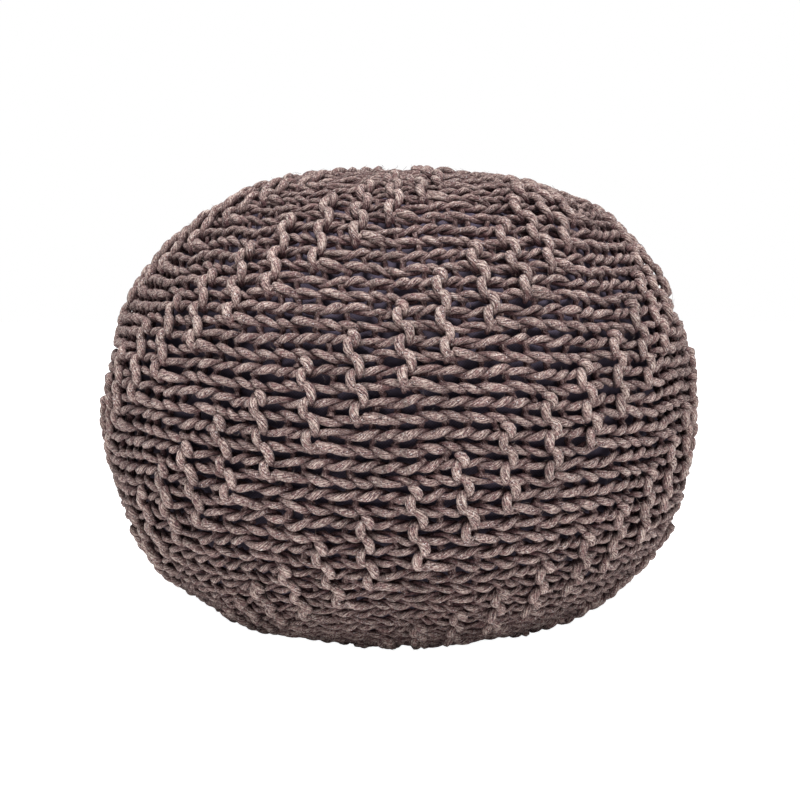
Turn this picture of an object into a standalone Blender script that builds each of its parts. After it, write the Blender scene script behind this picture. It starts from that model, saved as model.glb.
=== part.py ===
"""Knitted pouf: a round floor cushion with a cover knitted from thick twisted cotton cord.

The pouf is one filled solid that stands on a flat round base. Its flanks bulge over the base, its
crown is drawn together at the middle, and its surface carries the raised parts of the knit that
show from a step away: the zigzag knit columns, set in diagonal bands, and the rope-like rows.
"""

import math

import bmesh
import bpy

# Body, in metres. The outline is measured on the outside of the knit's ground.
WIDEST_RADIUS = 0.2485
WIDEST_HEIGHT = 0.170       # of the widest row above the floor
CROWN_RISE = 0.205          # from the widest row to the top
BELLY_DEPTH = 0.2035        # from the widest row to where the belly would close, below the floor
FULLNESS = 2.25             # exponent of the outline: 2 is an ellipse, more is fuller
GATHER_RADIUS = 0.028       # of the dimple where the crown is drawn together
GATHER_DEPTH = 0.007

# Knit. Rows are counted from the edge of the base up to the middle of the crown.
WALES = 48                  # stitches round the pouf
ROWS = 51
EVEN_ROWS = 54              # how many there would be if the upper ones weren't taller
ROW_SPREAD = 0.07           # how much wider than the mean the top rows are, as a share
TALL_FROM = 26              # rows grow taller from here
TALL_TO = 37                # up to here, and stay as tall above it
TALL_GROWTH = 0.00014       # as a share of the outline
FIRST_WALE = 0.0113         # turn of the first wale, in radians
WALE_LEAN = 0.0033          # turn of the wales for each row upwards, to the left
LEAN_FROM = 24              # the row at which a wale stands at its own angle
WALE_SPREAD = 0.026         # the wales stand wider at the front and closer at the back
SAG = 0.0044                # rise and fall of the rows twice round the pouf, as a share
SAG_FULL = 0.25             # share of the way up the outline at which the sag is full
COLUMN_ROWS = 6             # height of a raised knit column
REPEAT_ROWS = 12            # from one column to the next one above it
ROWS_PER_WALE = 2           # how much higher a column starts than the one on its left
COLUMN_RISE = 0.0045        # of a column over the ground
COLUMN_SWAY = 0.0035        # of the zigzag to each side, at the widest row
ROW_RISE = 0.0010           # of the rope rows over and under the ground
FADE_RADIUS = 0.170         # the relief fades out inside this radius, where the wales narrow

# The fill is a little uneven: waves round the pouf, each with its height, count and turn.
WAVES = (
    {"height": 0.0012, "around": 2, "upward": 1.0, "turn": 0.6},
    {"height": 0.0009, "around": 3, "upward": 2.0, "turn": 2.1},
    {"height": 0.0007, "around": 5, "upward": 3.0, "turn": 4.4},
)

OUTLINE_STEPS = 600         # fine steps used to measure along the outline
CORD_COLOUR = (0.150, 0.106, 0.098, 1.0)
CORD_ROUGHNESS = 0.92


def outline():
    """The flank from the base's edge to the top, as (distance, radius, height) in fine steps."""
    power = 2.0 / FULLNESS
    reach = WIDEST_HEIGHT / BELLY_DEPTH
    lowest = -math.asin(reach ** (1.0 / power))
    points = []
    distance = 0.0
    for step in range(OUTLINE_STEPS + 1):
        angle = lowest + (math.pi / 2 - lowest) * step / OUTLINE_STEPS
        radius = WIDEST_RADIUS * max(math.cos(angle), 0.0) ** power
        half_height = CROWN_RISE if angle > 0 else BELLY_DEPTH
        height = WIDEST_HEIGHT + math.copysign(half_height * abs(math.sin(angle)) ** power, angle)
        if points:
            distance += math.dist((radius, height), points[-1][1:])
        points.append((distance, radius, max(height, 0.0)))
    return points


def point_on_outline(points, share):
    """Radius and height at a share of the way along the outline."""
    wanted = share * points[-1][0]
    low = 0
    high = len(points) - 1
    while high - low > 1:
        middle = (low + high) // 2
        if points[middle][0] <= wanted:
            low = middle
        else:
            high = middle
    span = points[high][0] - points[low][0]
    blend = (wanted - points[low][0]) / span
    radius = points[low][1] + blend * (points[high][1] - points[low][1])
    height = points[low][2] + blend * (points[high][2] - points[low][2])
    return radius, height


def row_share(row):
    """How far up the outline a row lies. The rows are a little taller towards the crown."""
    even = row / EVEN_ROWS
    share = even + ROW_SPREAD * even * (even - 1.0)
    tall = max(row - TALL_FROM, 0)
    reach = TALL_TO - TALL_FROM
    growth = tall ** 2 if tall < reach else reach * (2 * tall - reach)
    return share + TALL_GROWTH * growth


def placed(half_wale, row):
    """Azimuth and share of the outline of one point: the wales lean and the rows sag a little."""
    share = row_share(row)
    azimuth = FIRST_WALE + math.pi * half_wale / WALES
    rise = share * EVEN_ROWS - LEAN_FROM
    azimuth += WALE_SPREAD * math.sin(azimuth) - WALE_LEAN * rise
    share -= SAG * math.sin(2.0 * azimuth + 0.2) * min(share / SAG_FULL, 1.0)
    return azimuth, share


def in_column(wale, row):
    """Whether a stitch belongs to a raised knit column. The columns stand in diagonal bands."""
    return (row - ROWS_PER_WALE * wale) % REPEAT_ROWS < COLUMN_ROWS


def unevenness(azimuth, share):
    """How far the fill pushes the flank out of round. It is zero at the base and at the top."""
    total = 0.0
    for wave in WAVES:
        total += wave["height"] * math.sin(
            wave["around"] * azimuth + wave["upward"] * math.pi * share + wave["turn"]
        )
    return total * math.sin(math.pi * share)


def gather(radius):
    """Depth of the dimple that the drawn-together stitches leave in the crown."""
    if radius >= GATHER_RADIUS:
        return 0.0
    return GATHER_DEPTH * 0.5 * (1.0 + math.cos(math.pi * radius / GATHER_RADIUS))


def knit_point(points, half_wale, row):
    """Position of one point of the knit. Even half wales run up the middle of the stitches."""
    azimuth, share = placed(half_wale, row)
    radius, height = point_on_outline(points, share)
    relief = 0.0
    if row > 0:
        fade = min(radius / FADE_RADIUS, 1.0)
        middle_of_wale = half_wale % 2 == 0
        if middle_of_wale and in_column(half_wale // 2, row):
            relief = COLUMN_RISE * fade
            side = -1.0 if row % 2 else 1.0
            azimuth += side * COLUMN_SWAY / WIDEST_RADIUS
        else:
            relief = (ROW_RISE if row % 2 else -ROW_RISE) * fade
        relief += unevenness(azimuth, share)
    next_radius, next_height = point_on_outline(points, min(share + 0.01, 1.0))
    slope = math.atan2(next_height - height, next_radius - radius)
    out = radius + relief * math.sin(slope)
    up = height - relief * math.cos(slope) - gather(radius)
    if row == 0:
        up = 0.0
    return out * math.sin(azimuth), -out * math.cos(azimuth), up


def shape_sphere(mesh, points):
    """Moves the points of a unit sphere to the knit: one ring a row, two meridians a wale."""
    rings = ROWS + 1
    for vertex in mesh.verts:
        ring = round(math.acos(max(-1.0, min(1.0, vertex.co.z))) / math.pi * rings)
        if ring == 0:
            vertex.co = (0.0, 0.0, WIDEST_HEIGHT + CROWN_RISE - GATHER_DEPTH)
        elif ring == rings:
            vertex.co = (0.0, 0.0, 0.0)
        else:
            turn = math.atan2(vertex.co.x, -vertex.co.y) / math.pi * WALES
            vertex.co = knit_point(points, round(turn) % (2 * WALES), ROWS - ring)


def centre_on_base(mesh):
    """Shifts the body sideways so that the origin is under the middle of its box."""
    for axis in (0, 1):
        low = min(vertex.co[axis] for vertex in mesh.verts)
        high = max(vertex.co[axis] for vertex in mesh.verts)
        for vertex in mesh.verts:
            vertex.co[axis] -= (low + high) / 2


def cord_material():
    """Taupe cotton cord, matt and slightly hairy."""
    material = bpy.data.materials.new("cotton_cord")
    material.use_nodes = True
    shader = material.node_tree.nodes["Principled BSDF"]
    shader.inputs["Base Color"].default_value = CORD_COLOUR
    shader.inputs["Roughness"].default_value = CORD_ROUGHNESS
    shader.inputs["Metallic"].default_value = 0.0
    material.diffuse_color = CORD_COLOUR
    return material


def knitted_pouf(collection):
    """The whole pouf: cover and filling as one solid, with its flat base on the floor."""
    mesh = bmesh.new()
    bmesh.ops.create_uvsphere(mesh, u_segments=2 * WALES, v_segments=ROWS + 1, radius=1.0)
    shape_sphere(mesh, outline())
    centre_on_base(mesh)
    bmesh.ops.recalc_face_normals(mesh, faces=mesh.faces[:])
    data = bpy.data.meshes.new("knitted_pouf")
    mesh.to_mesh(data)
    mesh.free()
    data.materials.append(cord_material())
    pouf = bpy.data.objects.new("knitted_pouf", data)
    collection.objects.link(pouf)
    return pouf


def main():
    for item in list(bpy.data.objects):
        bpy.data.objects.remove(item)
    collection = bpy.data.collections.new("knitted_pouf")
    bpy.context.scene.collection.children.link(collection)
    knitted_pouf(collection)


main()
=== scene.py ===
# Knitted cotton pouf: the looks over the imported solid. Every cord of the cover is laid one by one
# on the solid's own outline, over a dark casing. Lengths are in metres, angles in radians.
import math

import bpy
import numpy as np
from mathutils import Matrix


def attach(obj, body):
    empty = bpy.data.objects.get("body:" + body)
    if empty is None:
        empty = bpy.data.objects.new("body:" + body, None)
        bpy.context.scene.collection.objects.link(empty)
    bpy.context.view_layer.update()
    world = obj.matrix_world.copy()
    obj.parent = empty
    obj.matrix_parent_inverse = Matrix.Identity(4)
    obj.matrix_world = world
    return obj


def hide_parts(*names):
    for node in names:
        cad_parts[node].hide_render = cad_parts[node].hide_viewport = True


print("loading the frame")
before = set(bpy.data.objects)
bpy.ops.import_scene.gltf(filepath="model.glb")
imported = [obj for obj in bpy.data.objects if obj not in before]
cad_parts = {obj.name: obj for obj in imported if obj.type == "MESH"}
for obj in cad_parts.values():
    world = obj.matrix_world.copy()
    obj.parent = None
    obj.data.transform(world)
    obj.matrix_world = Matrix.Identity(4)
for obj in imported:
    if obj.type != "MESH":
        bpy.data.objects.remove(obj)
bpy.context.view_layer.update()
fullTurn = 2 * math.pi

cover = {
    "widestRadius": 0.2485,    # the outline is the solid's
    "widestHeight": 0.170,
    "crownRise": 0.205,
    "bellyDepth": 0.2035,
    "fullness": 2.25,
    "gatherRadius": 0.028,     # dimple in the crown
    "gatherDepth": 0.007,
    "crownDrop": 0.0034,       # how much flatter the crown's ropes lie than the solid
    "crownRadius": 0.170,      # where they begin to
    # how far the ropes' middle lies inside the solid's outline, at shares of the way up
    "insetAt": (0.0, 0.22, 0.32, 0.59, 0.68, 0.79, 0.90, 1.0),
    "inset": (0.0020, 0.0024, 0.0048, 0.0052, 0.0017, 0.0017, 0.0057, 0.0068),
    # how far the shoulders sit to the right of the base, at shares of the way up
    "shiftAt": (0.40, 0.55, 0.71, 0.80),
    "shift": (0.0, 0.0030, 0.0030, 0.0),
    "clearance": 0.0046,       # from the floor up to the middle of the ropes
    "softness": 0.004,         # how gently the flank turns into the base
    "floorGap": 0.0002,
    "innermost": 0.006,        # nearer the middle, offsets to the side count as at this radius
    "steps": 2400,             # of the outline
}

knit = {
    "wales": 48,
    "rows": 54,                # from the base's edge to the middle of the crown
    "firstRow": -13,           # next to the middle of the base
    "lastRow": 49,             # next to the middle of the crown
    "rowSpread": 0.07,
    "tallRows": (26, 37),      # the rows grow taller from the first of these up to the last
    "tallGrowth": 0.000083,
    "underPitch": 0.0099,      # of the rows under the base
    "columnRows": 6,
    "repeatRows": 12,
    "rowsPerWale": 2,
    "firstWale": math.radians(0.65),
    "lean": math.radians(0.19),    # of the wales to the left, for each row upwards
    "leanFrom": 24,                # the row at which a wale stands at its own angle
    "spread": math.radians(1.5),   # the wales stand wider at the front and closer at the back
    "sag": 0.0026,                 # of the rows, twice round the pouf
    "sagTurn": 0.2,
    "sagFull": 0.15,           # how far above the base's edge the sag is full
    "driftRadius": 0.12,       # inside it the random drifts fade out
    "driftFull": 0.10,         # how far above the base's edge the drifts are full
    "baseDrift": 0.4,          # share of the drifts that is left at the base's edge
    "bandEdge": 1.2,           # rows over which a band of columns fades out
    "lowestStitch": -9,        # the row from which there are columns and legs
    "halfWalesInside": 0.120,  # every second wale ends inside this radius
    "quarterWalesInside": 0.055,
    "ropeWales": ((0.060, 12), (0.095, 16), (0.140, 24), (0.185, 36)),   # inside each radius
    "seed": 11,
}

waves = (                      # the fill's unevenness, as in the solid
    {"height": 0.0012, "around": 2, "upward": 1.0, "turn": 0.6},
    {"height": 0.0009, "around": 3, "upward": 2.0, "turn": 2.1},
    {"height": 0.0007, "around": 5, "upward": 3.0, "turn": 4.4},
)

# Random drifts of the cords: how far they go, how many waves round the pouf, and how long upwards.
drifts = {
    "side": {"height": 0.0011, "around": (3, 18), "upward": 0.080},
    "climb": {"height": 0.0011, "around": (4, 20), "upward": 0.140},
    "lift": {"height": 0.0007, "around": (4, 30), "upward": 0.050},
}


# The outline that every cord lies on, from the middle of the base to the middle of the crown.
def traceCover():
    power = 2 / cover["fullness"]
    angle = np.linspace(-math.pi / 2, math.pi / 2, cover["steps"])
    reach = np.abs(np.sin(angle)) ** power
    radius = cover["widestRadius"] * np.cos(angle).clip(0) ** power
    rise = np.where(angle > 0, cover["crownRise"] * reach, -cover["bellyDepth"] * reach)
    height = cover["widestHeight"] + rise
    steps = np.hypot(np.diff(radius), np.diff(height.clip(0)))
    climb = np.concatenate([[0], np.cumsum(steps)])
    climb -= np.interp(0, height, climb)          # counted from the base's edge
    share = (radius / cover["gatherRadius"]).clip(0, 1)
    dimple = cover["gatherDepth"] * 0.5 * (1 + np.cos(math.pi * share))
    flatter = cover["crownDrop"] * (1 - (radius / cover["crownRadius"]).clip(0, 1) ** 2)
    height = height - np.where(angle > 0, dimple + flatter, 0)
    out, up = outwards(radius, height)
    inset = np.interp(climb / climb[-1], cover["insetAt"], cover["inset"])
    radius = (radius - inset * out).clip(0)
    height = height - inset * up
    over = (height - cover["clearance"]) / cover["softness"]
    height = cover["clearance"] + cover["softness"] * np.logaddexp(0, over)
    out, up = outwards(radius, height)
    return {"climb": climb, "radius": radius, "height": height, "out": out, "up": up}


def outwards(radius, height):
    run, rise = np.gradient(radius), np.gradient(height)
    length = np.hypot(run, rise)
    return rise / length, -run / length


coverLine = traceCover()
flankLength = coverLine["climb"][-1]


def onLine(kind, climb):
    return np.interp(climb, coverLine["climb"], coverLine[kind])


def rowClimb(row):
    even = np.asarray(row, float) / knit["rows"]
    flank = flankLength * (even + knit["rowSpread"] * even * (even - 1))
    first, last = knit["tallRows"]
    tall = np.clip(np.asarray(row, float) - first, 0, None)
    reach = last - first
    growth = np.where(tall < reach, tall ** 2, reach * (2 * tall - reach))
    flank = flank + knit["tallGrowth"] * growth
    return np.where(even > 0, flank, np.asarray(row, float) * knit["underPitch"])


def waleCount(row):
    radius = float(onLine("radius", rowClimb(row)))
    if radius < knit["quarterWalesInside"]:
        return knit["wales"] // 4
    return knit["wales"] // 2 if radius < knit["halfWalesInside"] else knit["wales"]


# The ropes' strands stay long towards the middle, so that there are fewer of them in a row.
def ropeCount(row):
    radius = float(onLine("radius", rowClimb(row)))
    for inside, count in knit["ropeWales"]:
        if radius < inside:
            return count
    return knit["wales"]


# A smooth random drift round and up the pouf, the same for every cord at one place.
def makeDrift(seed, height, around, upward, terms=14):
    chance = np.random.default_rng(seed)
    turns = chance.integers(around[0], around[1] + 1, terms)
    climbs = chance.uniform(-1, 1, terms) * fullTurn / upward
    starts = chance.uniform(0, fullTurn, terms)
    height = height / math.sqrt(terms / 2)
    return {"turns": turns, "climbs": climbs, "starts": starts, "height": height}


def driftAt(drift, turn, climb):
    turn, climb = np.broadcast_arrays(turn, climb)
    around, upward = turn[..., None] * drift["turns"], climb[..., None] * drift["climbs"]
    return drift["height"] * np.sin(around + upward + drift["starts"]).sum(-1)


sideDrift = makeDrift(knit["seed"], **drifts["side"])
climbDrift = makeDrift(knit["seed"] + 1, **drifts["climb"])
liftDrift = makeDrift(knit["seed"] + 2, **drifts["lift"])


# How far the uneven fill and the shift of the shoulders push a point outwards.
def unevenness(turn, climb):
    share = (climb / flankLength).clip(0, 1)
    total = 0
    for wave in waves:
        angle = wave["around"] * turn + wave["upward"] * math.pi * share + wave["turn"]
        total = total + wave["height"] * np.sin(angle)
    shift = np.interp(share, cover["shiftAt"], cover["shift"])
    return total * np.sin(math.pi * share) + shift * np.sin(turn)


# Where a wale stands at some height: the wales lean, and their spacing isn't quite even.
def leaning(turn, climb):
    rows = climb / flankLength * knit["rows"] - knit["leanFrom"]
    return turn - knit["lean"] * rows + knit["spread"] * np.sin(turn)


# Points of the pouf from their turn, their way up the outline, and their offsets sideways and
# outwards from there.
def onCover(turn, climb, side, lift, girth=0):
    turn, climb, side, lift, girth = np.broadcast_arrays(turn, climb, side, lift, girth)
    turn = leaning(turn, climb)
    sag = knit["sag"] * np.sin(2 * turn + knit["sagTurn"])
    climb = climb - sag * (climb / knit["sagFull"]).clip(0, 1)
    radius = onLine("radius", climb)
    above = (climb / knit["driftFull"]).clip(0, 1)
    fade = (radius / knit["driftRadius"]).clip(0, 1)
    fade = fade * (knit["baseDrift"] + (1 - knit["baseDrift"]) * above)
    shift = side + driftAt(sideDrift, turn, climb) * fade
    climb = climb + driftAt(climbDrift, turn, climb) * fade
    radius = onLine("radius", climb)
    lift = lift + unevenness(turn, climb) + driftAt(liftDrift, turn, climb) * fade
    turn = turn + shift / radius.clip(cover["innermost"])
    reach = radius + lift * onLine("out", climb)
    height = onLine("height", climb) + lift * onLine("up", climb)
    height = np.maximum(height, girth + cover["floorGap"])      # pressed flat on the floor
    return np.stack([reach * np.sin(turn), -reach * np.cos(turn), height], -1)


# 1 in the middle of a knit column's band and 0 between the bands.
def columnShare(row, turn):
    wale = (turn - knit["firstWale"]) / fullTurn * knit["wales"]
    middle = (knit["columnRows"] - 1) / 2
    place = (row - knit["rowsPerWale"] * wale - middle) % knit["repeatRows"]
    away = np.minimum(place, knit["repeatRows"] - place)
    share = (0.5 + (knit["columnRows"] / 2 - away) / knit["bandEdge"]).clip(0, 1)
    return share * share * (3 - 2 * share)


# Cords: centre lines in, one swept mesh out. Each path is its points, radii, levels over the tops
# of its neighbours, which set the painted shade, and whether it closes to a ring.
def lineMesh(name, paths):
    points, girths, levels, alongs, edges = [], [], [], [], []
    patternShift = 0.0137      # for each point so far, so that no two cords look the same
    start = 0
    for place, girth, level, closed in paths:
        count = len(place)
        steps = np.linalg.norm(np.diff(place, axis=0), axis=1)
        points.append(place)
        girths.append(np.broadcast_to(girth, count))
        levels.append(np.broadcast_to(level, count))
        alongs.append(np.concatenate([[0], np.cumsum(steps)]) + start * patternShift)
        index = np.arange(count - 1) + start
        edges.append(np.stack([index, index + 1], -1))
        if closed:
            edges.append(np.array([[start + count - 1, start]]))
        start += count
    edges = np.concatenate(edges)
    mesh = bpy.data.meshes.new(name)
    mesh.vertices.add(start)
    mesh.vertices.foreach_set("co", np.concatenate(points).astype(np.float32).ravel())
    mesh.edges.add(len(edges))
    mesh.edges.foreach_set("vertices", edges.astype(np.int32).ravel())
    for attribute, values in (("girth", girths), ("level", levels), ("along", alongs)):
        layer = mesh.attributes.new(attribute, "FLOAT", "POINT")
        layer.data.foreach_set("value", np.concatenate(values).astype(np.float32))
    mesh.update()
    return mesh


def addNode(tree, kind, inputs=None, **settings):
    made = tree.nodes.new(kind)
    for name, value in settings.items():
        setattr(made, name, value)
    for name, value in (inputs or {}).items():
        if isinstance(value, bpy.types.NodeSocket):
            tree.links.new(value, made.inputs[name])
        else:
            made.inputs[name].default_value = value
    return made


def addSocket(tree, name, kind, way="INPUT"):
    tree.interface.new_socket(name=name, in_out=way, socket_type=kind)


def calc(tree, operation, *values):
    return addNode(tree, "ShaderNodeMath", dict(enumerate(values)), operation=operation).outputs[0]


def keep(tree, geometry, name, value, kind):
    stored = addNode(
        tree, "GeometryNodeStoreNamedAttribute",
        {"Geometry": geometry, "Name": name, "Value": value}, data_type=kind, domain="POINT",
    )
    return stored.outputs[0]


def named(tree, name, kind):
    node = addNode(tree, "GeometryNodeInputNamedAttribute", {"Name": name}, data_type=kind)
    return node.outputs[0]


# Sweeps a round cord along every edge path. "cordWay" keeps where a point is round and along it,
# and "depth" how far it lies over or under the tops of the cords there, for the painted shade.
def makeCordTree():
    tree = bpy.data.node_groups.new("sweepCords", "GeometryNodeTree")
    addSocket(tree, "Geometry", "NodeSocketGeometry")
    addSocket(tree, "Sides", "NodeSocketInt")
    addSocket(tree, "Middle", "NodeSocketVector")
    addSocket(tree, "Material", "NodeSocketMaterial")
    addSocket(tree, "Geometry", "NodeSocketGeometry", way="OUTPUT")
    given = addNode(tree, "NodeGroupInput").outputs
    place = addNode(tree, "GeometryNodeInputPosition").outputs[0]
    start = keep(tree, given["Geometry"], "core", place, "FLOAT_VECTOR")
    line = addNode(tree, "GeometryNodeMeshToCurve", {"Mesh": start})
    ring = addNode(
        tree, "GeometryNodeCurvePrimitiveCircle", {"Resolution": given["Sides"], "Radius": 1.0},
    )
    profile = keep(tree, ring.outputs["Curve"], "around", place, "FLOAT_VECTOR")
    girth = named(tree, "girth", "FLOAT")
    swept = addNode(
        tree, "GeometryNodeCurveToMesh",
        {"Curve": line.outputs[0], "Profile Curve": profile, "Scale": girth, "Fill Caps": True},
    )
    around = named(tree, "around", "FLOAT_VECTOR")
    parts = addNode(tree, "ShaderNodeSeparateXYZ", {"Vector": around}).outputs
    along = named(tree, "along", "FLOAT")
    way = addNode(tree, "ShaderNodeCombineXYZ", {"X": parts[0], "Y": parts[1], "Z": along})
    placed = keep(tree, swept.outputs[0], "cordWay", way.outputs[0], "FLOAT_VECTOR")
    core = named(tree, "core", "FLOAT_VECTOR")
    offset = addNode(tree, "ShaderNodeVectorMath", {0: place, 1: core}, operation="SUBTRACT")
    away = addNode(
        tree, "ShaderNodeVectorMath", {0: place, 1: given["Middle"]}, operation="SUBTRACT",
    )
    out = addNode(tree, "ShaderNodeVectorMath", {0: away.outputs[0]}, operation="NORMALIZE")
    facing = addNode(
        tree, "ShaderNodeVectorMath",
        {0: offset.outputs[0], 1: out.outputs[0]}, operation="DOT_PRODUCT",
    )
    depth = calc(tree, "ADD", facing.outputs["Value"], named(tree, "level", "FLOAT"))
    deep = keep(tree, placed, "depth", depth, "FLOAT")
    smooth = addNode(tree, "GeometryNodeSetShadeSmooth", {"Geometry": deep})
    real = addNode(tree, "GeometryNodeRealizeInstances", {"Geometry": smooth.outputs[0]})
    dressed = addNode(
        tree, "GeometryNodeSetMaterial",
        {"Geometry": real.outputs[0], "Material": given["Material"]},
    )
    addNode(tree, "NodeGroupOutput", {"Geometry": dressed.outputs[0]})
    return tree


# Makes a piece of a line mesh: the tree runs once, and its result stays as the piece's own mesh.
def grow(name, mesh, tree, inputs):
    piece = bpy.data.objects.new(name, mesh)
    bpy.context.scene.collection.objects.link(piece)
    maker = piece.modifiers.new("make", "NODES")
    maker.node_group = tree
    for item in tree.interface.items_tree:
        if item.in_out == "INPUT" and item.name in inputs:
            maker[item.identifier] = inputs[item.name]
    ready = bpy.context.evaluated_depsgraph_get()
    made = bpy.data.meshes.new_from_object(
        piece.evaluated_get(ready), preserve_all_data_layers=True, depsgraph=ready
    )
    piece.modifiers.remove(maker)
    piece.data = made
    bpy.data.meshes.remove(mesh)
    made.name = name
    for attribute in ("girth", "level", "along", "around", "core"):
        if attribute in made.attributes:
            made.attributes.remove(made.attributes[attribute])
    triangles = sum(len(face.vertices) - 2 for face in made.polygons)
    print(name, triangles, "triangles")
    return piece


def ramp(tree, value, start, end, low=0.0, high=1.0, **settings):
    inputs = {0: value, 1: start, 2: end, 3: low, 4: high}
    return addNode(tree, "ShaderNodeMapRange", inputs, **settings).outputs[0]


def noise(tree, place, scale, detail, roughness=0.5):
    inputs = {"Vector": place, "Scale": scale, "Detail": detail, "Roughness": roughness}
    return addNode(tree, "ShaderNodeTexNoise", inputs).outputs[0]


def mixColours(tree, factor, first, second):
    mix = addNode(tree, "ShaderNodeMix", {0: factor, 6: first, 7: second}, data_type="RGBA")
    return mix.outputs[2]


def scaleColour(tree, colour, factor):
    inputs = {0: colour, "Scale": factor}
    return addNode(tree, "ShaderNodeVectorMath", inputs, operation="SCALE").outputs[0]


def addBump(tree, shader, height, strength, depth):
    inputs = {"Height": height, "Strength": strength, "Distance": depth}
    bump = addNode(tree, "ShaderNodeBump", inputs)
    tree.links.new(bump.outputs[0], shader.inputs["Normal"])


def newMaterial(name, roughness, sheen=0.0):
    material = bpy.data.materials.new(name)
    material.use_nodes = True
    shader = material.node_tree.nodes["Principled BSDF"]
    shader.inputs["Roughness"].default_value = roughness
    shader.inputs["Specular IOR Level"].default_value = 0.25
    shader.inputs["Sheen Weight"].default_value = sheen
    shader.inputs["Sheen Roughness"].default_value = 0.5
    return material, material.node_tree, shader


cotton = {
    "deep": (0.100, 0.052, 0.058, 1),
    "main": (0.328, 0.219, 0.197, 1),
    "pale": (0.638, 0.518, 0.455, 1),
    "blush": (0.236, 0.122, 0.118, 1),
    "paintedGlint": (0.780, 0.740, 0.720, 1),
    "fleckScale": 600.0,
    "streakShare": 1.5,        # of the strands' own grain, against the flecks
    "grainScale": 0.4,         # brings the two together to about 0.5
    "deepRange": (0.50, 0.42),     # from the main colour to the deep one
    "paleRange": (0.49, 0.58),
    "blushScale": 330.0,
    "blushRange": (0.50, 0.66),
    "blushMost": 0.75,
    # the glints are painted highlights on the fibres
    "glintScale": 1100.0,
    "glintRange": (0.70, 0.76),
    "glintMost": 0.9,
    "patchScale": 38.0,
    "patchRange": (0.3, 0.7),
    "patchTones": (0.82, 1.14),
    "strands": 9.0,            # round a cord
    "lay": 0.034,              # length in which they wind once round it
    "grainAlong": 180.0,       # scale of the grain along a cord
    "grainAcross": 3.6,        # and across it, where its radius counts as 1
    "waver": 9.0,              # of the edges between strands
    "waverScale": 0.35,
    # painted shade: the cords' colour darkens with how deep they lie under the tops of the knit
    "paintedShade": (0.26, 0.17, 0.20, 1),   # tint of what lies deep in the knit
    "paintedShadeFrom": 0.0,         # under the tops of the cords
    "paintedShadeTo": -0.0051,
    # painted shade in the grooves between a cord's strands
    "paintedGrooveShade": 0.50,            # colour left in the grooves between strands
    "grooveWidth": 0.45,
    "roughness": 0.92,
    "sheen": 0.06,
    "ridgeBump": 0.35,         # of the strands, against the grain's
    "bump": 0.75,
    "bumpDepth": 0.0009,
}


# The fine strands that wind round a cord: a mask of their ridges, and a grain drawn out along them.
def addStrands(tree, place):
    way = addNode(tree, "ShaderNodeSeparateXYZ", {"Vector": place}).outputs
    twist = calc(tree, "MULTIPLY", calc(tree, "DIVIDE", way[2], cotton["lay"]), fullTurn)
    turned = calc(tree, "ADD", calc(tree, "ARCTAN2", way[1], way[0]), twist)
    strands = calc(tree, "MULTIPLY", turned, cotton["strands"])
    flat = addNode(tree, "ShaderNodeCombineXYZ", {"X": way[0], "Y": way[1]})
    follow = addNode(
        tree, "ShaderNodeVectorRotate",
        {"Vector": flat.outputs[0], "Angle": twist}, rotation_type="Z_AXIS",
    )
    spun = addNode(tree, "ShaderNodeSeparateXYZ", {"Vector": follow.outputs[0]}).outputs
    across = [calc(tree, "MULTIPLY", spun[axis], cotton["grainAcross"]) for axis in (0, 1)]
    along = calc(tree, "MULTIPLY", way[2], cotton["grainAlong"])
    grain = addNode(tree, "ShaderNodeCombineXYZ", {"X": across[0], "Y": across[1], "Z": along})
    streaks = noise(tree, grain.outputs[0], 1.0, 3.0, 0.65)
    soft = noise(tree, grain.outputs[0], cotton["waverScale"], 1.0)
    wave = calc(tree, "SINE", calc(tree, "MULTIPLY_ADD", soft, cotton["waver"], strands))
    return ramp(tree, wave, -1.0, 1.0), streaks


# Flecks and patches of differently dyed fibres, with small painted highlights as glints, as a
# colour and as a height for the bump.
def addFlecks(tree, place, streaks):
    fleck = noise(tree, place, cotton["fleckScale"], 2.0, 0.6)
    both = calc(tree, "MULTIPLY_ADD", streaks, cotton["streakShare"], fleck)
    grain = calc(tree, "MULTIPLY", both, cotton["grainScale"])
    deep = ramp(tree, grain, *cotton["deepRange"])
    pale = ramp(tree, grain, *cotton["paleRange"])
    colour = mixColours(tree, deep, cotton["main"], cotton["deep"])
    colour = mixColours(tree, pale, colour, cotton["pale"])
    warm = noise(tree, place, cotton["blushScale"], 3.0, 0.6)
    blush = ramp(tree, warm, *cotton["blushRange"], 0.0, cotton["blushMost"])
    colour = mixColours(tree, blush, colour, cotton["blush"])
    # painted highlights: small pale glints on the fibres
    spark = noise(tree, place, cotton["glintScale"], 0.0)
    paintedGlint = ramp(tree, spark, *cotton["glintRange"], 0.0, cotton["glintMost"])
    colour = mixColours(tree, paintedGlint, colour, cotton["paintedGlint"])
    patch = noise(tree, place, cotton["patchScale"], 2.0)
    tone = ramp(tree, patch, *cotton["patchRange"], *cotton["patchTones"])
    return scaleColour(tree, colour, tone), grain


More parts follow.
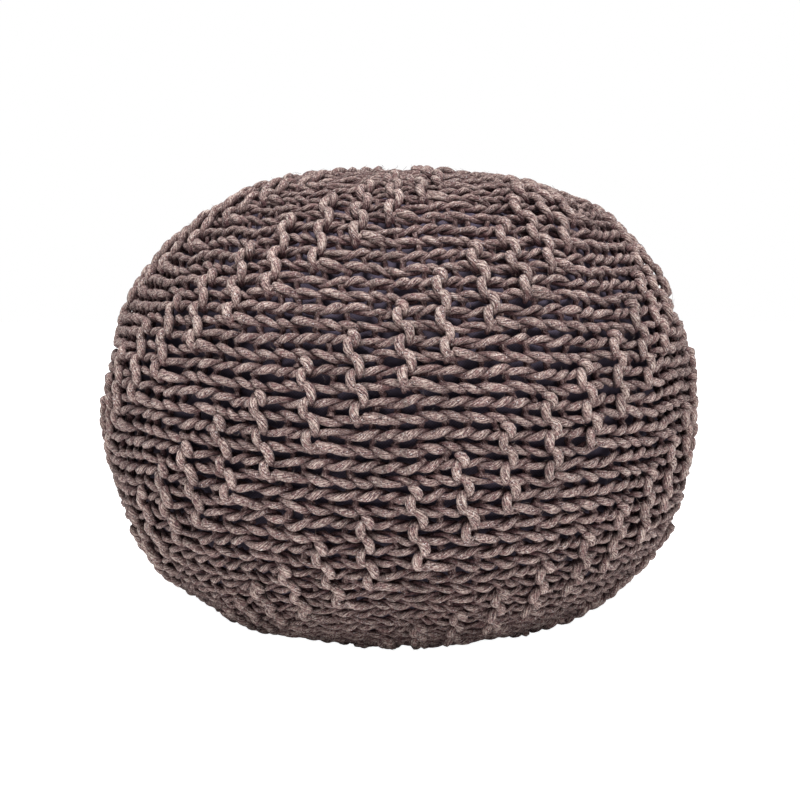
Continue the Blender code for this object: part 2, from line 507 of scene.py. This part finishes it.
def makeCottonCord():
    material, tree, shader = newMaterial("cottonCord", cotton["roughness"], cotton["sheen"])
    way, depth = [
        addNode(tree, "ShaderNodeAttribute", attribute_type="GEOMETRY", attribute_name=name).outputs
        for name in ("cordWay", "depth")
    ]
    ridge, streaks = addStrands(tree, way["Vector"])
    place = addNode(tree, "ShaderNodeTexCoord")
    colour, grain = addFlecks(tree, place.outputs["Object"], streaks)
    # painted shade in the grooves between the strands
    paintedGrooveShade = ramp(tree, ridge, 0.0, cotton["grooveWidth"], cotton["paintedGrooveShade"])
    # painted shade in the gaps of the knit, from each point's depth under the cords' tops
    paintedShade = ramp(tree, depth["Fac"], cotton["paintedShadeFrom"], cotton["paintedShadeTo"])
    tint = mixColours(tree, paintedShade, (1, 1, 1, 1), cotton["paintedShade"])
    tinted = addNode(
        tree, "ShaderNodeVectorMath",
        {0: scaleColour(tree, colour, paintedGrooveShade), 1: tint}, operation="MULTIPLY",
    )
    tree.links.new(tinted.outputs[0], shader.inputs["Base Color"])
    height = calc(tree, "MULTIPLY_ADD", ridge, cotton["ridgeBump"], grain)
    addBump(tree, shader, height, cotton["bump"], cotton["bumpDepth"])
    return material


cottonCord = makeCottonCord()
cordTree = makeCordTree()


def growCords(name, paths, sides):
    inputs = {"Sides": sides, "Middle": (0, 0, cover["widestHeight"]), "Material": cottonCord}
    return grow(name, lineMesh(name, paths), cordTree, inputs)


def dress(piece):
    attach(piece, "root")
    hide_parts("knitted_pouf")


# The ropes: each row shows as a rope of two plies, wound the other way in every second row. A ply
# shows as plump leaning strands; between them it dives behind the other ply.
rope = {
    "phases": (0, 30, 58, 82, 112, 180, 248, 278, 302, 330),   # of one turn's points, in degrees
    "overlap": 0.20,           # how far each strand runs on past the next one's start
    "swingOut": 0.0023,        # of a ply's crest over the rope's middle
    "swingIn": 0.0033,         # of its hidden part behind the middle
    "lean": 0.0020,            # of a strand's ends up and down
    "leanKept": 0.4,           # share of the lean that doesn't go with the relief
    "full": 0.0031,            # radius on the crest, between the columns' bands
    "fullInBand": 0.0027,
    "taper": 1.2,              # how fast the radius shrinks away from the crest
    "dip": 0.0028,             # how far a row goes in behind a column
    "dipSharpness": 8,
    # Each of these is a list of rows and what holds there: the radius where a ply dives, the share
    # of the radii, the relief, which is the share of the swing, how much deeper a cord counts for
    # its painted shade, and how far a strand's middle lies above its ends.
    "thin": ((28, 36), (0.0019, 0.0025)),
    "slim": ((3, 13, 22, 30, 38, 44), (0.74, 0.99, 1.02, 0.89, 0.74, 0.88)),
    "relief": ((0, 4, 14, 28, 36, 42), (0.20, 0.50, 1.0, 1.0, 0.76, 0.64)),
    "shade": ((30, 37), (0.0, 0.0006)),
    "bow": ((18, 30), (-0.0012, 0.0010)),
    "topRelief": 0.4,          # share of the relief in the tops that tints are measured from
    "fullWidth": 0.019,        # of a wale, from which its cords have their full size
    "leastScale": 0.45,
    "rounds": 4,               # in which the points' turns settle
    "wobble": 0.0008,
    "phaseJitter": 0.32,
    "girthJitter": 0.08,
    "bands": ((-13, 8), (9, 23), (24, 38), (39, 49)),    # rows of each piece
    "names": ("ropesBase", "ropesLower", "ropesUpper", "ropesCrown"),
}


def roundNoise(chance, low, high, terms=8):
    counts = chance.integers(low, high + 1, terms)
    starts = chance.uniform(0, fullTurn, terms)
    return lambda turn: np.sin(turn[:, None] * counts + starts).sum(-1) / math.sqrt(terms / 2)


# Cords are thinner where the wales are narrow.
def waleScale(row, wales):
    width = fullTurn * float(onLine("radius", rowClimb(row))) / wales
    return float(np.clip(width / rope["fullWidth"], rope["leastScale"], 1)) ** 0.5


# How far the ropes' tops lie over their middle. The painted shade is measured down from there.
def ropeTop(row, scale):
    share = rope["topRelief"]
    swing = rope["swingOut"] * (share * np.interp(row, *rope["relief"]) + (1 - share))
    top = swing + rope["full"] * np.interp(row, *rope["slim"])
    return scale * (top + np.interp(row, *rope["shade"]))


def ropePaths(row):
    wales = ropeCount(row)
    scale = waleScale(row, wales)
    relief = scale * np.interp(row, *rope["relief"])
    slim = np.interp(row, *rope["slim"])
    thin = float(np.interp(row, *rope["thin"]))
    bow = scale * np.interp(row, *rope["bow"])
    chance = np.random.default_rng(knit["seed"] * 1000 + row + 50)
    jitter = roundNoise(chance, 5, wales)
    wobble = roundNoise(chance, 8, wales)
    hand = 1 if row % 2 else -1
    paths = []
    for ply in (0, 1):
        thick = roundNoise(chance, 10, 2 * wales)
        phase = np.tile(np.radians(rope["phases"]), wales)
        place = phase + fullTurn * np.repeat(np.arange(wales), len(rope["phases"]))
        place = place + rope["overlap"] * np.sin(phase) - math.pi * ply
        turn = place / wales
        for settle in range(rope["rounds"]):
            lag = math.pi / 2 * columnShare(row - 0.5, turn) + rope["phaseJitter"] * jitter(turn)
            turn = knit["firstWale"] + (place - lag) / wales
        columns = columnShare(row - 0.5, turn)
        wale = (turn - knit["firstWale"]) / fullTurn * waleCount(row)
        crest, side = np.cos(phase), np.sin(phase)
        front = crest > 0
        full = rope["full"] + (rope["fullInBand"] - rope["full"]) * columns
        girth = thin + np.where(front, (full - thin) * np.abs(crest) ** rope["taper"], 0)
        girth = girth * (1 + rope["girthJitter"] * thick(turn)) * scale * slim
        behind = np.cos(math.pi * wale) ** rope["dipSharpness"]
        lift = np.where(front, rope["swingOut"], rope["swingIn"]) * crest
        lift = lift * relief - scale * rope["dip"] * columns * behind
        ends = np.where(front, side, side * np.abs(side) ** 3)
        lean = rope["leanKept"] * scale + (1 - rope["leanKept"]) * relief
        lean = hand * rope["lean"] * lean * ends
        climb = rowClimb(row) + lean + bow * crest.clip(0, 1) + rope["wobble"] * wobble(turn)
        # how far under the tops it lies, for the painted shade
        level = lift - ropeTop(row, scale)
        paths.append((onCover(turn, climb, 0, lift, girth), girth, level, True))
    return paths


for name, (first, last) in zip(rope["names"], rope["bands"]):
    paths = []
    for row in range(first, last + 1):
        paths += ropePaths(row)
    dress(growCords(name, paths, 6))


# The knit columns: six lobes of cord, one a row. The right ones start on the column's left and
# cross over; the left ones come out from under them. "up" is in rows.
lobe = {
    "side": {
        -1: (0.0010, -0.0011, -0.0028, -0.0034, -0.0032, -0.0022, -0.0006, 0.0006),
        1: (-0.0012, 0.0001, 0.0020, 0.0032, 0.0035, 0.0030, 0.0020, 0.0008),
    },
    "up": (0.58, 0.56, 0.38, 0.12, -0.17, -0.42, -0.61, -0.70),
    "lift": {
        -1: (0.0002, 0.0040, 0.0060, 0.0066, 0.0062, 0.0048, 0.0022, -0.0008),
        1: (0.0018, 0.0054, 0.0068, 0.0068, 0.0062, 0.0046, 0.0020, -0.0008),
    },
    "girth": (0.0022, 0.0030, 0.0034, 0.0035, 0.0034, 0.0030, 0.0024, 0.0018),
    "lean": 0.0004,            # how far right each lobe stands of the one above it
    "jitter": 0.0005,
    "sizeJitter": 0.04,
    "first": 0.62,             # length of the top lobe, which comes out from under a rope
    "ropeShare": 0.4,          # of the ropes' tops in the tops that its tint is measured from
    # Rows and what holds there: the share of the lift, and how much deeper a lobe counts for the
    # painted shade.
    "relief": ((0, 4, 12, 28, 38, 46), (0.20, 0.52, 0.86, 0.86, 0.76, 0.64)),
    "shade": ((26, 36), (0.0, 0.0008)),
}

runOut = {                     # the strand from a column's last lobe into the rope on its right
    "side": (0.0026, 0.0052, 0.0090, 0.0130, 0.0165, 0.0190),
    "up": (-0.10, -0.26, -0.38, -0.48, -0.56, -0.60),
    "lift": (0.0034, 0.0044, 0.0046, 0.0040, 0.0022, -0.0010),
    "girth": (0.0023, 0.0029, 0.0032, 0.0031, 0.0025, 0.0017),
}

tail = {                       # the end of a column's last lobe, which hooks left and goes in
    "side": (0.0018, -0.0002, -0.0020, -0.0027, -0.0026),
    "up": (-0.30, -0.42, -0.54, -0.70, -0.86),
    "lift": (0.0032, 0.0034, 0.0028, 0.0010, -0.0028),
    "girth": (0.0022, 0.0026, 0.0027, 0.0025, 0.0019),
}


def columnPaths():
    chance = np.random.default_rng(knit["seed"] + 7)
    paths = []
    for row in range(knit["lowestStitch"], knit["lastRow"]):
        wales = waleCount(row + 0.5)
        step = knit["wales"] // wales
        scale = waleScale(row + 0.5, wales)
        pitch = float(rowClimb(row + 1) - rowClimb(row))
        for wale in range(0, knit["wales"], step):
            place = (row - knit["rowsPerWale"] * wale) % knit["repeatRows"]
            if place >= knit["columnRows"]:
                continue
            turn = knit["firstWale"] + fullTurn * wale / knit["wales"]
            hand = -1 if row % 2 == 0 else 1
            fromMiddle = place - (knit["columnRows"] - 1) / 2
            across = -lobe["lean"] * fromMiddle + chance.normal(0, lobe["jitter"])
            middle = float(rowClimb(row)) + pitch * 0.5 + chance.normal(0, lobe["jitter"])
            size = 1 + chance.normal(0, lobe["sizeJitter"])
            ups = np.array(lobe["up"])
            if place == knit["columnRows"] - 1:
                ups = ups[-1] + (ups - ups[-1]) * lobe["first"]
            shapes = [(lobe["side"][hand], ups, lobe["lift"][hand], lobe["girth"])]
            if place == 0:
                for end in (runOut, tail):
                    shapes.append((end["side"], end["up"], end["lift"], end["girth"]))
            for sides, ups, lifts, girths in shapes:
                girth = np.array(girths) * scale * size
                sides = (np.array(sides) + across) * scale
                climb = middle + pitch * np.array(ups)
                lift = np.array(lifts) * scale * np.interp(row, *lobe["relief"])
                # the lobe's painted shade is measured down from these tops
                share = lobe["ropeShare"]
                top = share * ropeTop(row, scale) + (1 - share) * max(lift + girth)
                level = lift - (top + scale * np.interp(row, *lobe["shade"]))
                paths.append((onCover(turn, climb, sides, lift, girth), girth, level, False))
    return paths


dress(growCords("knitColumns", columnPaths(), 7))


# The short legs that join one row to the next, deep in the gaps. "up" is in rows.
leg = {
    "up": (0.06, 0.30, 0.50, 0.70, 0.94),
    "lift": (-0.0010, -0.0025, -0.0031, -0.0025, -0.0010),
    "girth": (0.0032, 0.0029, 0.0026, 0.0028, 0.0031),
    # painted shade: the legs' colour darkens with their depth under the ropes' tops
    "shade": 0.78,             # share of the depth under the ropes' tops that darkens them
    "placeJitter": 0.0014,
    "jitter": 0.0007,
    "girthJitter": 0.08,
    "lean": 0.0018,
    "seen": 0.93,              # share of the legs that aren't hidden altogether
}


def legPaths():
    chance = np.random.default_rng(knit["seed"] + 9)
    paths = []
    for row in range(knit["lowestStitch"], knit["lastRow"]):
        wales = waleCount(row + 0.5)
        scale = waleScale(row + 0.5, wales)
        pitch = float(rowClimb(row + 1) - rowClimb(row))
        for half in range(2 * wales):
            turn = knit["firstWale"] + fullTurn * (half + 0.5) / (2 * wales)
            middleOfGap = knit["firstWale"] + fullTurn * (half // 2 + 0.5) / wales
            if columnShare(row, middleOfGap) > 0.5:
                if half % 2:
                    continue
                turn = middleOfGap
            if chance.random() > leg["seen"]:
                continue
            ups = np.array(leg["up"])
            climb = float(rowClimb(row)) + pitch * ups
            sides = chance.normal(0, leg["placeJitter"])
            sides = sides + chance.normal(0, leg["jitter"], len(climb))
            sides = sides + chance.normal(0, leg["lean"]) * (ups - 0.5)
            slim = np.interp(row, *rope["slim"])
            girth = np.array(leg["girth"]) * scale * slim
            girth = girth * (1 + chance.normal(0, leg["girthJitter"]))
            lift = np.array(leg["lift"]) * scale
            level = leg["shade"] * (lift - ropeTop(row, scale))
            paths.append((onCover(turn, climb, sides, lift, girth), girth, level, False))
    return paths


dress(growCords("knitLegs", legPaths(), 5))


# The cords that draw the knit together in the middle of the crown and of the base: short ones that
# meet in the middle, and a two-ply ring over them.
gather = {
    "cords": 12,
    "share": (0.0, 0.30, 0.55, 0.78, 0.92),
    "lift": (0.0010, 0.0022, 0.0012, -0.0018, -0.0060),
    "girth": (0.0024, 0.0028, 0.0026, 0.0021, 0.0016),
    "swing": 0.0012,           # to the sides
    "swingTurn": 5,            # how much of a wave it is along a cord, in radians
    "ringPoints": 72,
    "ringRadius": 0.0078,
    "ringLift": 0.0020,
    "ringSwing": 0.0014,       # of a ply out and in
    "ringLean": 0.0012,        # and along the outline
    "ringGirth": 0.0019,
    "ringTurns": 7,
}


def gatherPaths():
    paths = []
    ends = ((knit["lastRow"], flankLength), (knit["firstRow"], coverLine["climb"][0]))
    for row, end in ends:
        start = float(rowClimb(row))
        for index in range(gather["cords"]):
            turn = knit["firstWale"] + fullTurn * (index + 0.5 * (row > 0)) / gather["cords"]
            share = np.array(gather["share"])
            climb = start + (end - start) * share
            girth = np.array(gather["girth"])
            swing = gather["swing"] * np.sin(share * gather["swingTurn"] + index)
            lift = np.array(gather["lift"])
            # how far under its own top each point lies, for the painted shade
            level = lift - max(lift + girth)
            paths.append((onCover(turn, climb, swing, lift, girth), girth, level, False))
        turns = np.arange(gather["ringPoints"]) / gather["ringPoints"] * fullTurn
        for ply in (0, 1):
            phase = gather["ringTurns"] * turns + math.pi * ply
            climb = end + math.copysign(gather["ringRadius"], start - end)
            climb = climb + gather["ringLean"] * np.sin(phase)
            lift = gather["ringLift"] + gather["ringSwing"] * np.cos(phase)
            girth = gather["ringGirth"]
            level = lift - max(lift + girth)
            paths.append((onCover(turns, climb, 0, lift, girth), girth, level, True))
    return paths


dress(growCords("gatherCords", gatherPaths(), 7))


# Stray fibres that stand out of the cords.
fibre = {
    "count": 2600,
    "rows": (7, 48),
    "length": (0.0025, 0.0065),
    "lift": (0.0035, 0.0058),  # where they leave a cord
    "rise": (0.0008, 0.0034),  # of their free ends
    "curl": 0.0012,
    "bends": (0.7, 1.6),       # half waves of the curl in a fibre
    "jitter": 0.0014,          # of their place, off the row's middle
    "girth": (0.00014, 0.00013, 0.00010, 0.00006),
}


def fibrePaths():
    chance = np.random.default_rng(knit["seed"] + 13)
    share = np.array((0.0, 0.33, 0.67, 1.0))
    girth = np.array(fibre["girth"])
    paths = []
    while len(paths) < fibre["count"]:
        turn = chance.uniform(0, fullTurn)
        climb = float(rowClimb(chance.integers(*fibre["rows"])))
        climb = climb + chance.normal(0, fibre["jitter"])
        if chance.random() > onLine("radius", climb) / cover["widestRadius"]:
            continue
        aim = chance.uniform(0, fullTurn)
        reach = chance.uniform(*fibre["length"]) * share
        curl = chance.normal(0, fibre["curl"])
        bend = curl * np.sin(math.pi * share * chance.uniform(*fibre["bends"]))
        sides = reach * math.cos(aim) - bend * math.sin(aim)
        ups = reach * math.sin(aim) + bend * math.cos(aim)
        lift = chance.uniform(*fibre["lift"]) + chance.uniform(*fibre["rise"]) * share
        place = onCover(turn, climb + ups, sides, lift, girth)
        paths.append((place, girth, lift - lift[0], False))
    return paths


dress(growCords("strayFibres", fibrePaths(), 3))


# The dark casing that shows in the gaps.
casing = {
    # how far it lies behind the ropes' middle, at shares of the way up
    "depth": ((0.74, 0.92), (0.0082, 0.0135)),
    "around": 192,
    "upward": 110,
    "puff": {"height": 0.0010, "around": (6, 30), "upward": 0.05},
    "colour": (0.070, 0.056, 0.086, 1),
    "lighter": (0.122, 0.098, 0.140, 1),
    "roughness": 0.85,
    "threads": 900.0,          # a metre
    "girthLength": 1.5,        # of the cloth once round the pouf
    "bump": 0.4,
    "bumpDepth": 0.0003,
}


def makeCasingCloth():
    material, tree, shader = newMaterial("casingCloth", casing["roughness"])
    place = addNode(tree, "ShaderNodeUVMap", uv_map="weave")
    parts = addNode(tree, "ShaderNodeSeparateXYZ", {"Vector": place.outputs[0]}).outputs
    threads = []
    for axis in (0, 1):
        scaled = calc(tree, "MULTIPLY", parts[axis], casing["threads"] * math.pi)
        threads.append(calc(tree, "SINE", scaled))
    mask = ramp(tree, calc(tree, "MULTIPLY", *threads), -1.0, 1.0)
    cloth = mixColours(tree, mask, casing["colour"], casing["lighter"])
    tree.links.new(cloth, shader.inputs["Base Color"])
    addBump(tree, shader, mask, casing["bump"], casing["bumpDepth"])
    return material


def makeCasing():
    puff = makeDrift(knit["seed"] + 4, **casing["puff"])
    climbs = np.linspace(coverLine["climb"][0], flankLength, casing["upward"] + 1)[1:-1]
    turns = np.arange(casing["around"]) / casing["around"] * fullTurn
    turn, climb = np.meshgrid(turns, climbs)
    lift = driftAt(puff, turn, climb) - np.interp(climb / flankLength, *casing["depth"])
    rings = onCover(turn, climb, 0, lift).reshape(-1, 3)
    shallow, deep = casing["depth"][1]
    bottom = onCover(0.0, climbs[0], 0, -shallow) * (0, 0, 1)
    top = onCover(0.0, climbs[-1], 0, -deep) * (0, 0, 1)
    points = np.concatenate([rings, [bottom, top]])
    count, faces = casing["around"], []
    for level in range(len(climbs) - 1):
        for index in range(count):
            after = (index + 1) % count
            low, high = level * count, (level + 1) * count
            faces.append((low + index, low + after, high + after, high + index))
    crown = (len(climbs) - 1) * count
    for index in range(count):
        after = (index + 1) % count
        faces.append((len(rings), after, index))
        faces.append((len(rings) + 1, crown + index, crown + after))
    mesh = bpy.data.meshes.new("innerCasing")
    mesh.from_pydata(points.tolist(), [], faces)
    layer = mesh.uv_layers.new(name="weave")
    around = np.concatenate([turn.ravel() / fullTurn, [0, 0]]) * casing["girthLength"]
    upward = np.concatenate([climb.ravel(), [climbs[0], climbs[-1]]])
    corners = np.array([corner.vertex_index for corner in mesh.loops])
    charts = np.stack([around[corners], upward[corners]], -1)
    layer.uv.foreach_set("vector", charts.astype(np.float32).ravel())
    mesh.shade_smooth()
    mesh.materials.append(makeCasingCloth())
    piece = bpy.data.objects.new("innerCasing", mesh)
    bpy.context.scene.collection.objects.link(piece)
    return piece


innerCasing = makeCasing()
dress(innerCasing)
print("casing done")


# Floor, lamps and camera.
studio = {
    "floorRadius": 9.0,
    "floorSides": 96,
    "floorColour": (0.80, 0.80, 0.80, 1),
    "floorGlow": 1.0,          # as the camera sees it
    "floorBounce": 0.90,       # as it lights the pouf
    "floorShade": (0.17, 0.42),    # radii between which that light comes in
    "sky": 0.19,
    "sunPower": 1.8,
    "sunWidth": math.radians(34),
    "sunTilt": (math.radians(-3), math.radians(-2), 0.0),
    "lampPower": 11.3,
    "lampSize": 0.5,
    "lampPlace": (0.06, -0.72, 1.14),
    "lampAim": (0, 0, 0.2),
    "cameraPlace": (0.0, -0.980, 0.2708),
    "cameraPitch": math.radians(5.57),
    "lens": 50.7,              # on a 36 mm sensor
}


# Glowing floor: white to the camera, and painted bounce light that fades near the pouf as a painted
# shadow.
def makeFloor():
    radius, sides = studio["floorRadius"], studio["floorSides"]
    angles = [fullTurn * index / sides for index in range(sides)]
    ring = [(radius * math.cos(angle), radius * math.sin(angle), 0) for angle in angles]
    mesh = bpy.data.meshes.new("floor")
    mesh.from_pydata(ring, [], [tuple(range(sides))])
    material = bpy.data.materials.new("paleFloor")
    material.use_nodes = True
    shader = material.node_tree.nodes["Principled BSDF"]
    shader.inputs["Base Color"].default_value = studio["floorColour"]
    shader.inputs["Roughness"].default_value = 0.9
    shader.inputs["Specular IOR Level"].default_value = 0.1
    shader.inputs["Emission Color"].default_value = (1, 1, 1, 1)
    tree = material.node_tree
    ray = addNode(tree, "ShaderNodeLightPath").outputs["Is Camera Ray"]
    place = addNode(tree, "ShaderNodeTexCoord").outputs["Object"]
    away = addNode(tree, "ShaderNodeVectorMath", {0: place}, operation="LENGTH").outputs["Value"]
    bounce = ramp(
        tree, away, *studio["floorShade"], 0.0, studio["floorBounce"],
        interpolation_type="SMOOTHSTEP",
    )
    glow = ramp(tree, ray, 0.0, 1.0, bounce, studio["floorGlow"])
    tree.links.new(glow, shader.inputs["Emission Strength"])
    mesh.materials.append(material)
    floor = bpy.data.objects.new("floor", mesh)
    bpy.context.scene.collection.objects.link(floor)


def makeLamp(name, place, size, power):
    lamp = bpy.data.lights.new(name, "AREA")
    lamp.shape = "DISK"
    lamp.size = size
    lamp.energy = power
    holder = bpy.data.objects.new(name, lamp)
    holder.location = place
    aim = np.array(studio["lampAim"]) - np.array(place)
    flat = math.hypot(aim[0], aim[1])
    holder.rotation_euler = (math.atan2(flat, -aim[2]), 0, math.atan2(-aim[0], aim[1]))
    bpy.context.scene.collection.objects.link(holder)


# A wide soft light from above, even over the whole floor.
def makeSun():
    lamp = bpy.data.lights.new("topLight", "SUN")
    lamp.energy = studio["sunPower"]
    lamp.angle = studio["sunWidth"]
    holder = bpy.data.objects.new("topLight", lamp)
    holder.rotation_euler = studio["sunTilt"]
    bpy.context.scene.collection.objects.link(holder)


def makeCamera():
    lens = bpy.data.cameras.new("camera")
    lens.sensor_width = 36
    lens.lens = studio["lens"]
    lens.clip_start = 0.01
    holder = bpy.data.objects.new("camera", lens)
    holder.location = studio["cameraPlace"]
    holder.rotation_euler = (math.pi / 2 - studio["cameraPitch"], 0, 0)
    bpy.context.scene.collection.objects.link(holder)
    bpy.context.scene.camera = holder


# The camera sees plain white behind the floor, whatever the soft light from all round is.
def makeSky(tree):
    light = tree.nodes["Background"]
    light.inputs["Color"].default_value = (1, 1, 1, 1)
    light.inputs["Strength"].default_value = studio["sky"]
    seen = addNode(tree, "ShaderNodeBackground", {"Color": (1, 1, 1, 1), "Strength": 1.0})
    ray = addNode(tree, "ShaderNodeLightPath")
    mix = addNode(tree, "ShaderNodeMixShader", {0: ray.outputs["Is Camera Ray"]})
    tree.links.new(light.outputs[0], mix.inputs[1])
    tree.links.new(seen.outputs[0], mix.inputs[2])
    tree.links.new(mix.outputs[0], tree.nodes["World Output"].inputs["Surface"])


world = bpy.data.worlds.new("studio")
bpy.context.scene.world = world
world.use_nodes = True
makeSky(world.node_tree)
bpy.context.scene.view_settings.view_transform = "Standard"
makeFloor()
makeSun()
makeLamp("keyLamp", studio["lampPlace"], studio["lampSize"], studio["lampPower"])
makeCamera()
print("studio done")
